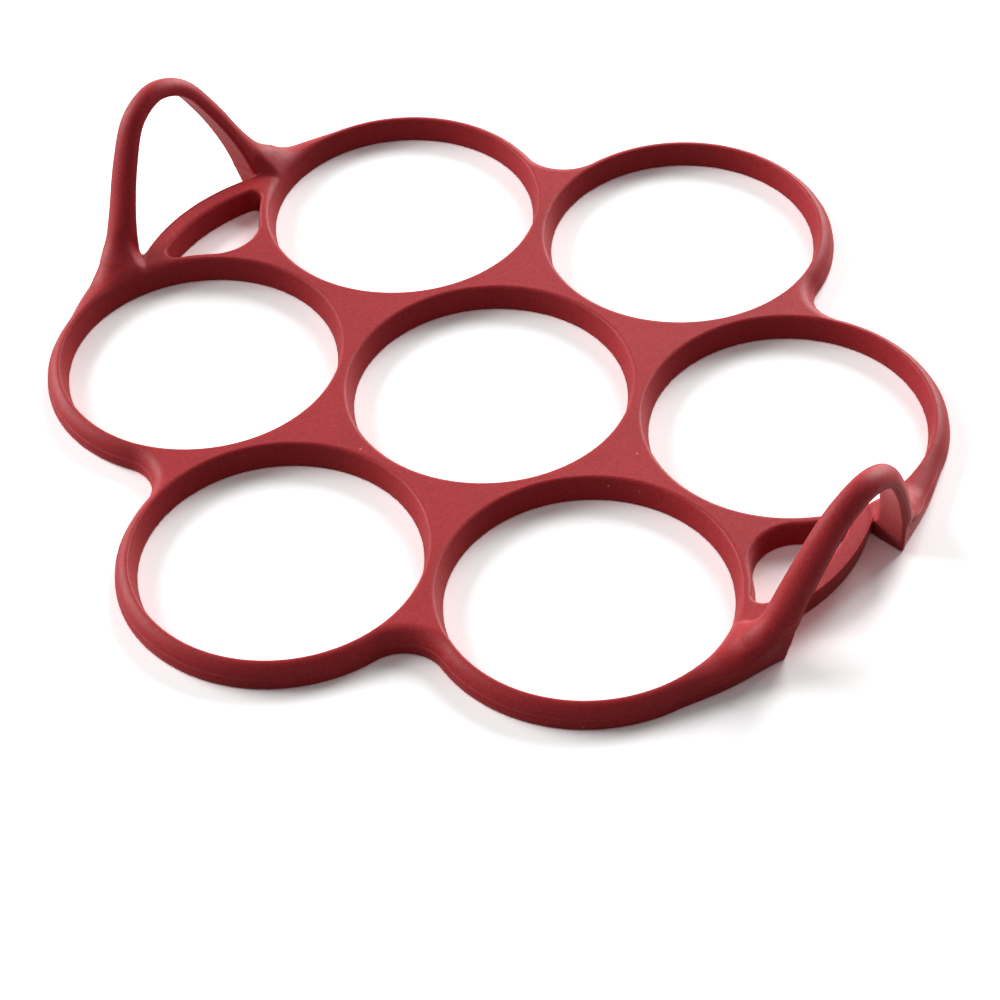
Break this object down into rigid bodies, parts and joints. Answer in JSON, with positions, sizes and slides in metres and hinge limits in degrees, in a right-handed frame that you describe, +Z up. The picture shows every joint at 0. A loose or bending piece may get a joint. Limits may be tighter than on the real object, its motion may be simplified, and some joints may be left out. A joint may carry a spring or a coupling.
{
  "type": "egg ring rack",
  "caption": "Flexible silicone tray of round egg rings in a hexagonal cluster, joined by flat webs, with an arched lift handle at each end.",
  "frame": {"origin": "on the floor under the axis of the middle ring", "axes": "+Z up, +X from the middle ring to one handle, +Y to one of the two rings without a handle"},
  "size_m": [0.1492, 0.144, 0.0276],
  "materials": {
    "silicone": "matte"
  },
  "bodies": {
    "tray": {"egg_ring_centre": "silicone", "egg_ring_right_back": "silicone", "egg_ring_back": "silicone", "egg_ring_left_back": "silicone", "egg_ring_left_front": "silicone", "egg_ring_front": "silicone", "egg_ring_right_front": "silicone", "web_right": "silicone", "web_right_back": "silicone", "web_left_back": "silicone", "web_left": "silicone", "web_left_front": "silicone", "web_right_front": "silicone", "end_web_right": "silicone", "end_web_left": "silicone", "bridge_right": "silicone", "bridge_left": "silicone", "handle_foot_right_back": "silicone", "handle_foot_right_front": "silicone", "handle_foot_left_back": "silicone", "handle_foot_left_front": "silicone"},
    "handle_right": {"handle_neck_right_back": "silicone", "handle_neck_right_front": "silicone", "handle_loop_right": "silicone"},
    "handle_left": {"handle_neck_left_back": "silicone", "handle_neck_left_front": "silicone", "handle_loop_left": "silicone"}
  },
  "joints": [
    {"name": "handle_right_flex", "type": "hinge", "parent": "tray", "child": "handle_right", "pos_m": [0.06897, 0, 0.00861], "axis": [0, 1, 0], "range_deg": [-75, 60], "stiffness_Nm_per_rad": 0.01, "deforming": ["handle_neck_right_back", "handle_neck_right_front"]},
    {"name": "handle_left_flex", "type": "hinge", "parent": "tray", "child": "handle_left", "pos_m": [-0.06897, 0, 0.00861], "axis": [0, -1, 0], "range_deg": [-75, 60], "stiffness_Nm_per_rad": 0.01, "deforming": ["handle_neck_left_back", "handle_neck_left_front"]}
  ]
}
